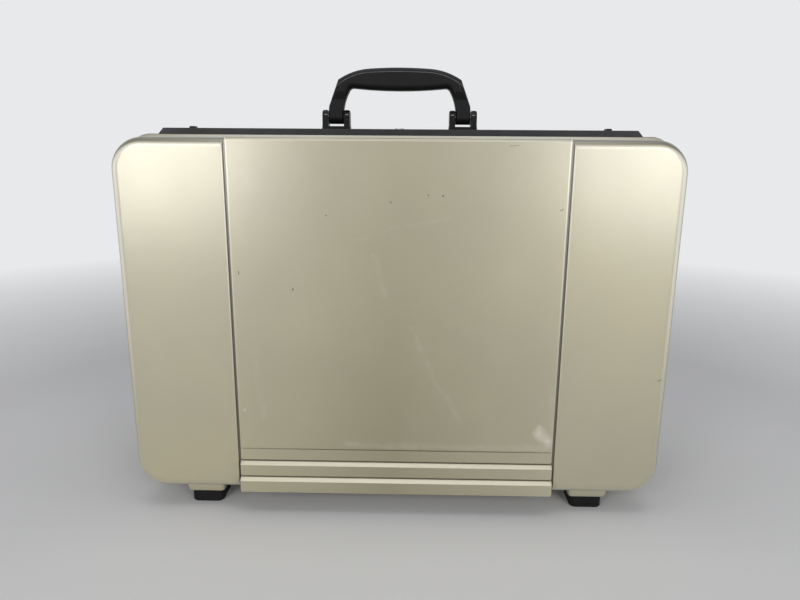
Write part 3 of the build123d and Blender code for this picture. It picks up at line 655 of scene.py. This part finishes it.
def grained_plastic(name, dark, light, roughness, grain, depth, gloss=0.3):
    """Black plastic under construction: a tone that varies slowly, and a grain of small cells."""
    plastic = Finish(name, roughness)
    cloud = plastic.between(plastic.noise(TONE_SCALE, 3.0), *CLOUD_EDGES)
    relief = plastic.bump(plastic.cells(grain), depth)
    rough = plastic.between(plastic.noise(WEAR_SCALE, 4.0), 0.3, 0.7,
                            roughness - WEAR_SMOOTHS, roughness + WEAR_ROUGHENS)
    plastic.set(Base_Color=plastic.mix(cloud, shade(*dark), shade(*light)), Roughness=rough,
                Normal=relief, Specular_IOR_Level=gloss)
    return plastic


def brushed_steel(name, stretch):
    """Plated steel with drawing lines along the axis that stretch leaves long."""
    steel = Finish(name, 0.3, metallic=1.0)
    lines = steel.noise(LINE_SCALE, 2.0, stretch=stretch)
    tone = steel.mix(lines, shade(*STEEL_DARK), shade(*STEEL_LIGHT))
    rough = steel.between(lines, *STEEL_ROUGHNESS)
    return steel.set(Base_Color=tone, Roughness=rough, Normal=steel.bump(lines, LINE_DEPTH))


frame_black, handle_black, seal_rubber = (
    grained_plastic(*settings).material for settings in (
        ("frame_black", (28, 27, 30), (35, 34, 37), 0.5, 1500.0, 0.00006, 0.3),
        ("handle_black", (9, 9, 11), (15, 15, 17), 0.46, 2200.0, 0.00004, 0.15),
        ("seal_rubber", (18, 18, 19), (24, 24, 25), 0.8, 1100.0, 0.00004, 0.15),
    ))
plated_steel = brushed_steel("plated_steel", (0.08, 1.0, 1.0))
pin_steel = brushed_steel("pin_steel", (1.0, 0.06, 0.06))
print("made the frame, handle and seal blacks and two steels")

# %% [markdown]
# ## Handle cover
#
# The grip is two mouldings. Where its cover meets the body, a painted highlight follows the joint
# as a thin pale line, for the light that the joint's edge catches. That line is an arc over the
# middle and a tighter arc down to each leg, so the finish measures how far a point is from those
# two circles.

# %% Cover finish
PIN_HEIGHT = 0.4638
JOINT_TOP = (0.0, PIN_HEIGHT + 0.0507)
JOINT_BEND = (0.035, PIN_HEIGHT + 0.0497)
JOINT_END = (0.075, PIN_HEIGHT + 0.0337)
JOINT_LINE = 0.0008
# Painted highlight along the joint of the cover and the body.
JOINT_HIGHLIGHT = (116, 116, 118)
JOINT_HIGHLIGHT_SCALE = 160.0
JOINT_HIGHLIGHT_PATCHES = (0.3, 0.6, 0.45, 0.9)


def joint_circles():
    """Centres and radii of the two arcs of the joint.

    The first passes through the top and the bend. The second leaves the bend in the same
    direction and ends at the leg: its radius is the chord squared over twice the chord's part
    along the inward normal.
    """
    top, bend, end = (np.array(point) for point in (JOINT_TOP, JOINT_BEND, JOINT_END))
    drop = top[1] - bend[1]
    wide = (bend[0] ** 2 + drop ** 2) / (2 * drop)
    middle = top - (0.0, wide)
    inward = (middle - bend) / np.linalg.norm(middle - bend)
    chord = end - bend
    tight = chord @ chord / (2 * chord @ inward)
    return (middle, wide), (bend + tight * inward, tight)


def cover_finish():
    """Grip cover: black plastic with a painted highlight along its joint."""
    cover = grained_plastic("cover_black", (12, 12, 14), (18, 18, 20), 0.46, 1900.0, 0.00004, 0.2)
    parts = cover.add("ShaderNodeSeparateXYZ", {0: cover.place}).outputs
    aside = cover.math("ABSOLUTE", parts["X"])
    flat = cover.add("ShaderNodeCombineXYZ", {"X": aside, "Z": parts["Z"]}).outputs[0]
    gaps = []
    for centre, radius in joint_circles():
        apart = cover.vector("DISTANCE", flat, (centre[0], 0.0, centre[1]), result="Value")
        gaps.append(cover.math("SUBTRACT", apart, radius))
    past = cover.math("GREATER_THAN", aside, JOINT_BEND[0])
    change = cover.product(past, cover.math("SUBTRACT", gaps[1], gaps[0]))
    gap = cover.math("ABSOLUTE", cover.math("ADD", gaps[0], change))
    line = cover.between(gap, 0.3 * JOINT_LINE, JOINT_LINE, 1.0, 0.0)
    joint_highlight = cover.product(line, cover.between(cover.noise(JOINT_HIGHLIGHT_SCALE, 3.0), *JOINT_HIGHLIGHT_PATCHES))
    return cover.set(Base_Color=cover.mix(joint_highlight, cover.tone(), shade(*JOINT_HIGHLIGHT)))


cover_black = cover_finish()
print("joint circles", joint_circles())

# %% [markdown]
# ## Knobs, brackets and feet
#
# The knobs carry fine ridges across the way they slide, and the feet carry level ones that keep
# the case from sliding. Both are too fine to be worth their faces, so they are sine waves in the
# bump. The upper edges of the bracket posts carry a painted highlight, for the light they catch.

# %% Knob, bracket and foot finishes
RIDGE_PITCH = 0.0011
RIDGE_DEPTH = 0.00025
FOOT_RIDGE = 0.0021
FOOT_RIDGE_DEPTH = 0.0002
POSTS = ((-0.0874, 0.4668), (-0.0624, 0.4668), (0.0627, 0.4668), (0.0876, 0.4668))
POST_REACH = 0.0014
POST_GLINT_HALF = 0.0016
# Painted highlight on the upper edges of the bracket posts.
POST_HIGHLIGHT = (196, 196, 200)
POST_HIGHLIGHT_SHARE = (0.0, 0.5, 0.0, 0.95)


def ridged(finish, axis, pitch, depth):
    """Ridges across an axis: a sine of the place, one turn for each pitch."""
    place = finish.add("ShaderNodeSeparateXYZ", {0: finish.place}).outputs[axis]
    wave = finish.math("SINE", finish.product(place, 2 * math.pi / pitch))
    return finish.set(Normal=finish.bump(wave, depth))


def bracket_finish():
    """Bracket: smooth black plastic with a painted highlight on the posts' upper edges."""
    dark, light = (7, 7, 8), (12, 12, 13)
    bracket = grained_plastic("bracket_black", dark, light, 0.34, 2200.0, 0.00002, 0.14)
    edges = [bracket.streak((x - POST_REACH, 0.0, z), (x + POST_REACH, 0.0, z), POST_GLINT_HALF)
             for x, z in POSTS]
    share = bracket.between(bracket.most(edges), *POST_HIGHLIGHT_SHARE)
    return bracket.set(Base_Color=bracket.mix(share, bracket.tone(), shade(*POST_HIGHLIGHT)))


knob = grained_plastic("knob_black", (27, 27, 29), (34, 34, 36), 0.45, 1700.0, 0.00004)
knob_black = ridged(knob, "X", RIDGE_PITCH, RIDGE_DEPTH)
bracket_black = bracket_finish()
foot = grained_plastic("foot_rubber", (18, 18, 19), (27, 26, 27), 0.72, 800.0, 0.00008, 0.15)
foot_rubber = ridged(foot, "Z", FOOT_RIDGE, FOOT_RIDGE_DEPTH)
print("ridges every", RIDGE_PITCH, "m on the knobs and", FOOT_RIDGE, "m on the feet")

# %% [markdown]
# ## Foam finish
#
# The lining is charcoal open-cell foam. Its skinless surface is all small torn cells, so it is
# nearly without gloss and has a soft halo where light grazes it. Two sizes of cells make the bump.

# %% Foam finish
FOAM_DARK = (40, 40, 43)
FOAM_LIGHT = (56, 56, 60)
CELL_SCALE = 800.0
CELL_WALLS = (0.1, 0.7)
PIT_DEPTH = 0.0005
TEAR_SCALE = 260.0
TEAR_DEPTH = 0.0006


def open_cell_foam():
    """Foam of torn cells: pits from a cell pattern, and a paler tone on the cell walls."""
    foam = Finish("charcoal_foam", 0.95)
    cells = foam.cells(CELL_SCALE)
    tone = foam.mix(foam.between(cells, *CELL_WALLS), shade(*FOAM_DARK), shade(*FOAM_LIGHT))
    torn = foam.bump(foam.noise(TEAR_SCALE, 3.0), TEAR_DEPTH)
    pits = foam.bump(cells, PIT_DEPTH, below=torn)
    return foam.set(Base_Color=tone, Normal=pits, Sheen_Weight=0.25, Sheen_Roughness=0.6,
                    Specular_IOR_Level=0.2)


charcoal_foam = open_cell_foam()
print("foam cells of", 1 / CELL_SCALE, "m")

# %% [markdown]
# ## Dressing
#
# Each node of the construction gets one finish, found by a word in its name. The order matters:
# the first word that fits wins, and what is left over is plated steel.

# %% Dress the CAD nodes
DRESS = {
    "shell": champagne,
    "frame": frame_black,
    "top_strip": frame_black,
    "handle_body": handle_black,
    "handle_cover": cover_black,
    "bracket": bracket_black,
    "slider": knob_black,
    "foam": charcoal_foam,
    "foot": foot_rubber,
    "gasket": seal_rubber,
    "pin": pin_steel,
    "": plated_steel,
}
for name, node in nodes.items():
    finish = next(material for part, material in DRESS.items() if part in name)
    node.data.materials.clear()
    node.data.materials.append(finish)
print("dressed", len(nodes), "nodes")

# %% [markdown]
# ## Stacked outlines
#
# Every new piece is a stack of closed outlines: the sections of a foam slab, the offsets of a
# pocket's edge, or the circles of a rivet's head. One function joins them with quads and closes
# the ends, so no piece has an open seam. It takes several equal stacks at once, for heads that
# repeat. Lengths from here on are millimetres, and the foam's heights count from the middle of
# the rim.


# %% Stacked outlines
MM = 0.001
RIM_MIDDLE = 232.8


def stacked(name, stacks, material, body, capped=True):
    """Closed mesh from an array of (stacks, rows, points, 3) in millimetres.

    Point j of row i is joined to point j + 1 and to row i + 1. The last point meets the first.
    capped closes both ends with one flat face; otherwise the last row meets the first.
    """
    count, rows, points = stacks.shape[:3]
    index = np.arange(count * rows * points).reshape(count, rows, points)
    beside = np.roll(index, -1, axis=2)
    after, after_beside = np.roll(index, -1, axis=1), np.roll(beside, -1, axis=1)
    quads = np.stack((index, beside, after_beside, after), axis=-1)
    quads = quads[:, :-1] if capped else quads
    faces = quads.reshape(-1, 4).tolist()
    if capped:
        faces += index[:, 0, ::-1].tolist() + index[:, -1].tolist()
    mesh = bpy.data.meshes.new(name)
    mesh.from_pydata((stacks.reshape(-1, 3) * MM).tolist(), [], faces)
    shape = bmesh.new()
    shape.from_mesh(mesh)
    bmesh.ops.recalc_face_normals(shape, faces=shape.faces)
    shape.to_mesh(mesh)
    shape.free()
    mesh.polygons.foreach_set("use_smooth", np.ones(len(mesh.polygons), bool))
    mesh.materials.append(material)
    piece = bpy.data.objects.new(name, mesh)
    scene.collection.objects.link(piece)
    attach(piece, body)
    print(name, "has", len(mesh.polygons), "faces and rides on", body)
    return piece


def as_foam(piece, node):
    """Hides the CAD solid that a foam piece stands for."""
    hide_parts(node)


# %% [markdown]
# ## Foam slabs
#
# The lid holds a slab with an egg-crate face, which presses on whatever lies in the case, and the
# rear shell has a plain slab behind the pockets. Each is cut from a block, so it could be a box
# with a displaced face. Here it is a stack of level sections instead: the section's width follows
# the rounded corners, and its front edge follows the waves, so the corners and the waves meet
# without a seam.

# %% Foam slabs
FOAM_HALF = (305.2, 199.2)
FOAM_CORNER = 29.2
LID_FACE = -12.0
FLOOR_FACE = 55.3
SHELL_INSIDE = 86.1
WAVE_PITCH = 32.0
WAVE_DEPTH = 13.0
DENT_DEPTH = 0.5
SOFT_EDGE = 4.0
EGG_CRATE_FILL = 0.9
CUT_FOAM_FILL = 0.95
CORNER_ROWS = 16
STRAIGHT_ROWS = 131
FACE_COLUMNS = 190
FACE_SHARE = 0.985
EDGE_SHARE = 0.995
BACK_COLUMNS = 25


def slab_rows():
    """Heights of the sections, close together round the corners, and each section's half width.

    In a corner the height is its centre plus the radius times a sine, and the half width loses
    the radius times one minus the cosine.
    """
    side, top = FOAM_HALF
    turn = np.linspace(0, np.pi / 2, CORNER_ROWS)
    upper = top - FOAM_CORNER + FOAM_CORNER * np.sin(turn)
    middle = np.linspace(FOAM_CORNER - top, top - FOAM_CORNER, STRAIGHT_ROWS)[1:-1]
    height = np.concatenate((-upper[::-1], middle, upper))
    past = np.clip(np.abs(height) - (top - FOAM_CORNER), 0, FOAM_CORNER)
    return height, side - FOAM_CORNER + np.sqrt(FOAM_CORNER ** 2 - past ** 2)


def foam_slab(name, node, body, face, back, dip):
    """Slab from its soft face to its flat back, with the face lowered by dip(x, z) millimetres.

    Near the outline the face also falls off along a quarter circle of SOFT_EDGE, where the
    distance to the outline is the lesser of the two straight ones.
    """
    height, half = slab_rows()
    face_columns = np.linspace(-FACE_SHARE, FACE_SHARE, FACE_COLUMNS)
    across = np.concatenate(([-1.0, -EDGE_SHARE], face_columns, [EDGE_SHARE, 1.0]))
    x = half[:, None] * across
    z = np.broadcast_to(height[:, None], x.shape)
    inside = np.minimum(half[:, None] - np.abs(x), FOAM_HALF[1] - np.abs(z))
    past = np.clip(SOFT_EDGE - inside, 0, SOFT_EDGE)
    fall = SOFT_EDGE - np.sqrt(SOFT_EDGE ** 2 - past ** 2)
    front = face + np.sign(back - face) * (dip(x, z) + fall)
    back_columns = np.sin(np.linspace(np.pi / 2, -np.pi / 2, BACK_COLUMNS)[1:-1])
    back_x = half[:, None] * back_columns
    back_z = np.broadcast_to(height[:, None], back_x.shape)
    behind = np.stack((back_x, np.full_like(back_x, back), back_z), -1)
    rows = np.concatenate((np.stack((x, front, z), -1), behind), axis=1)
    rows[..., 2] += RIM_MIDDLE
    as_foam(stacked(name, rows[None], charcoal_foam, body), node)


def egg_crate(x, z):
    """Depth below the peaks: half the depth, less a quarter of it times each direction's cosine."""
    turn = 2 * np.pi / WAVE_PITCH
    return WAVE_DEPTH * (0.5 - 0.25 * np.cos(turn * x) - 0.25 * np.cos(turn * z))


def slack_face(x, z):
    """Slow dents: half the depth, and a quarter of it times each of two slanting sines."""
    rising, falling = np.sin(x / 31.0 + z / 47.0), np.sin(z / 23.0 - x / 59.0)
    return DENT_DEPTH * (0.5 + 0.25 * rising + 0.25 * falling)


for name, node, body, face, back, dip, fill in (
    ("egg_crate_foam", "lid_foam", "lid", LID_FACE, -SHELL_INSIDE, egg_crate, EGG_CRATE_FILL),
    ("floor_foam", "base_foam_floor", "base", FLOOR_FACE, SHELL_INSIDE, slack_face, CUT_FOAM_FILL),
):
    foam_slab(name, node, body, face, back, dip)

# %% [markdown]
# ## Cut pockets
#
# The upper layer of the rear foam is cut right through: a channel for the coiled insertion tube
# runs round an island with two pockets. A knife and a hot wire leave straight walls and slightly
# rounded edges. The outline of a wall is its corner points with an arc at each, and moving the
# whole outline inwards while the depth changes gives the rounded edge.

# %% Outlines with round corners
ARC_STEPS = 9
LEAST_RADIUS = 0.05


def round_outline(corners, radii, insets):
    """Outlines (insets, points, 2) through right-angled corners, moved to the left by each inset.

    Each corner moves by the inset along both normals. Its arc has the radius less the inset on a
    left turn, or plus it on a right turn, and runs from the incoming side to the outgoing one.
    It is never less than LEAST_RADIUS.
    """
    corners = np.asarray(corners, float)
    come = corners - np.roll(corners, 1, axis=0)
    leave = np.roll(corners, -1, axis=0) - corners
    come /= np.linalg.norm(come, axis=1, keepdims=True)
    leave /= np.linalg.norm(leave, axis=1, keepdims=True)
    left = np.array((-1.0, 1.0))
    turn = come[:, 0] * leave[:, 1] - come[:, 1] * leave[:, 0]
    inset = np.asarray(insets, float)[:, None, None]
    moved = corners + inset * left * (come + leave)[:, ::-1]
    radius = np.maximum(np.asarray(radii, float) - inset[..., 0] * turn, LEAST_RADIUS)
    radius = radius[..., None, None]
    swing = np.linspace(0, np.pi / 2, ARC_STEPS)[:, None]
    centre = moved[:, :, None] + radius * (leave - come)[:, None]
    arcs = centre + radius * (come[:, None] * np.sin(swing) - leave[:, None] * np.cos(swing))
    return arcs.reshape(len(arcs), -1, 2)


def at_depths(outlines, depths):
    """Rows of (x, y, z) from outlines in the front view and the depth of each."""
    depth = np.broadcast_to(np.asarray(depths)[:, None], outlines.shape[:2])
    return np.stack((outlines[..., 0], depth, outlines[..., 1] + RIM_MIDDLE), axis=-1)


def box_corners(half_x, half_z):
    """Corners of a centred rectangle, to the left round it."""
    return [(half_x, -half_z), (half_x, half_z), (-half_x, half_z), (-half_x, -half_z)]


print("a corner has", ARC_STEPS, "points")

# %% [markdown]
# ## Tray and island
#
# The tray is one closed ring: its rows go up the outer wall, over the rounded rim and down the
# wall of the channel. The island is a closed block whose outline walks in and out of both
# pockets, so a pocket needs no cutting.

# %% Tray and island
TRAY_FACE = 10.3
CUT_EDGE = 2.5
CUT_EDGE_STEPS = 7
CHANNEL_HALF = (243.2, 168.2)
CHANNEL_CORNER = 92.0
ISLAND_HALF = (197.2, 122.2)
ISLAND_CORNER = 46.0
CONTROL = {"reach": 118.0, "low": 15.4, "high": 81.4, "neck": (36.4, 60.4)}
CONNECTOR = {"reach": 84.0, "low": -81.4, "high": -25.4, "neck": (-65.4, -41.4)}
POCKET_CORNER = 12.0
NECK_CORNER = 3.0

swing = np.linspace(0, np.pi / 2, CUT_EDGE_STEPS)
edge_inset = CUT_EDGE * (1 - np.cos(swing))
edge_depth = TRAY_FACE + CUT_EDGE * (1 - np.sin(swing))


def cut_tray():
    """Ring of foam round the channel: the outer edge's rows, then the inner edge's in reverse."""
    outer = round_outline(box_corners(*FOAM_HALF), [FOAM_CORNER] * 4, [0, *edge_inset])
    outer = at_depths(outer, [FLOOR_FACE, *edge_depth])
    inner = box_corners(*CHANNEL_HALF)
    inner = round_outline(inner, [CHANNEL_CORNER] * 4, [*-edge_inset[::-1], 0])
    inner = at_depths(inner, [*edge_depth[::-1], FLOOR_FACE])
    rows = np.concatenate((outer, inner))
    ring = stacked("tray_foam", rows[None], charcoal_foam, "base", capped=False)
    as_foam(ring, "base_foam_tray")


def pocket_corners(reach, low, high, neck, side):
    """Corners of a pocket that opens through its neck to the left or right of the island.

    side is 1 or -1. The walk enters by the neck, rounds the pocket and leaves by the neck.
    """
    edge = side * ISLAND_HALF[0]
    near, far = side * reach, -side * reach
    enter, leave = neck if side > 0 else neck[::-1]
    first, second = (low, high) if side > 0 else (high, low)
    walk = [(edge, enter), (near, enter), (near, first), (far, first)]
    walk += [(far, second), (near, second), (near, leave), (edge, leave)]
    return walk, [NECK_CORNER] * 2 + [POCKET_CORNER] * 4 + [NECK_CORNER] * 2


def island_outline():
    """Corners and radii of the island: its own four corners, and a pocket in each side."""
    side, top = ISLAND_HALF
    left, left_radii = pocket_corners(**CONTROL, side=-1)
    right, right_radii = pocket_corners(**CONNECTOR, side=1)
    corners = [(side, top), (-side, top), *left, (-side, -top), (side, -top), *right]
    pair = [ISLAND_CORNER] * 2
    return corners, pair + left_radii + pair + right_radii


def cut_island():
    """Island of foam: straight walls and a rounded front edge all round its outline."""
    corners, radii = island_outline()
    rows = at_depths(round_outline(corners, radii, [0, *edge_inset]), [FLOOR_FACE, *edge_depth])
    island = stacked("island_foam", rows[None], charcoal_foam, "base")
    as_foam(island, "base_foam_island")


cut_tray()
cut_island()

# %% [markdown]
# ## Rivets and screws
#
# Rivets hold the hinge leaves under the frames, and two screws from inside hold each handle
# bracket. Their heads are too small to be parts of their own in the construction. A head is a
# profile turned about its axis: its circles are stacked, and all heads of one kind are one mesh.

# %% Rivets and screws
HEAD_POINTS = 20
HEAD_SUNK = 0.1
DOME_STEPS = 7
DOME_END = 0.45 * np.pi
RIVET_RISE = 1.1
RIVET_RADIUS = 2.5
RIVET_STEP = 19.0
RIVET_DEPTH = 6.6
HINGE_ASIDE = 150.0
LEAF_UNDERSIDE = 21.4
SCREW_RADIUS = 4.0
SCREW_RISE = 2.4
SCREW_TAPER = 0.45
SCREW_STEP = 6.0
SCREW_DEPTH = 6.0
BRACKET_ASIDE = 75.4
RECESS = ((1.5, SCREW_RISE), (1.4, SCREW_RISE - 1.2))
FRAME_INSIDE = 428.8


def hanging_heads(name, body, places, top, profile):
    """Heads that hang under a surface at height top.

    A point is the place plus the profile's radius times the cosine and sine of its turn, and its
    height is top less the profile's drop.
    """
    radius, drop = np.array(profile).T
    turn = np.linspace(0, 2 * np.pi, HEAD_POINTS, endpoint=False)
    spot = np.array(places, float)[:, None, None]
    circles = np.stack((np.outer(radius, np.cos(turn)), np.outer(radius, np.sin(turn))), axis=-1)
    flat = spot + circles
    height = np.broadcast_to((top - drop)[:, None], flat.shape[:-1])
    piece = stacked(name, np.concatenate((flat, height[..., None]), axis=-1), plated_steel, body)


def head_places(middle, steps, depth):
    """Places in the plan, in steps about a middle on the left and on the right."""
    return [(side * middle + step, depth) for side in (-1, 1) for step in steps]


dome = np.linspace(0, DOME_END, DOME_STEPS)
rivet = [(RIVET_RADIUS, -HEAD_SUNK)]
rivet += [(RIVET_RADIUS * np.cos(a), RIVET_RISE * np.sin(a)) for a in dome]
screw = [(SCREW_RADIUS, -HEAD_SUNK)]
screw += [(SCREW_RADIUS * (1 - SCREW_TAPER * np.sin(a) ** 4), SCREW_RISE * np.sin(a)) for a in dome]
screw += RECESS
steps = (-RIVET_STEP, 0.0, RIVET_STEP)
for name, body, depth in (
    ("lid_rivets", "lid", -RIVET_DEPTH),
    ("base_rivets", "base", RIVET_DEPTH),
):
    hanging_heads(name, body, head_places(HINGE_ASIDE, steps, depth), LEAF_UNDERSIDE, rivet)
screw_places = head_places(BRACKET_ASIDE, (-SCREW_STEP, SCREW_STEP), SCREW_DEPTH)
hanging_heads("bracket_screws", "base", screw_places, FRAME_INSIDE, screw)

# %% [markdown]
# ## Latch springs
#
# Behind each slide bolt a wire folded to and fro pushes it back. The wire could be a bent curve
# with a bevel, but its length changes as the bolt slides, so it is a swept circle along a flat
# wave that fills the spring's box in the construction.

# %% Latch springs
SPRING_WIRE = 0.9
SPRING_WAVES = 4
WAVE_STEPS = 40
WIRE_SIDES = 10


def folded_spring(side):
    """Wire along a flat wave: y is the middle plus the swing times the cosine of the turn.

    A point is the centreline plus the wire's radius times the normal's cosine and the upright's
    sine.
    """
    low, high = (np.array(corner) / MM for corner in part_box("latch_spring_" + side))
    radius = SPRING_WIRE / 2
    run = np.linspace(0, 1, WAVE_STEPS * SPRING_WAVES + 1)
    flat = 0 * run
    turn = 2 * np.pi * SPRING_WAVES * run
    length = high[0] - low[0] - 2 * radius
    swing = (high[1] - low[1]) / 2 - radius
    offset = np.stack((radius + length * run, swing * np.cos(turn), flat), -1)
    centre = offset + (low[0], *(low + high)[1:] / 2)
    climb = -2 * np.pi * SPRING_WAVES * swing * np.sin(turn)
    along = np.stack((length + flat, climb, flat), -1)
    along /= np.linalg.norm(along, axis=1, keepdims=True)
    normal = np.stack((-along[:, 1], along[:, 0], flat), -1)
    around = np.linspace(0, 2 * np.pi, WIRE_SIDES, endpoint=False)[:, None]
    section = normal[:, None] * np.cos(around) + np.array((0, 0, 1.0)) * np.sin(around)
    rows = centre[:, None] + radius * section
    spring = stacked("folded_spring_" + side, rows[None], plated_steel, "base")
    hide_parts("latch_spring_" + side)
    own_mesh(spring)


folded_spring("left")
folded_spring("right")
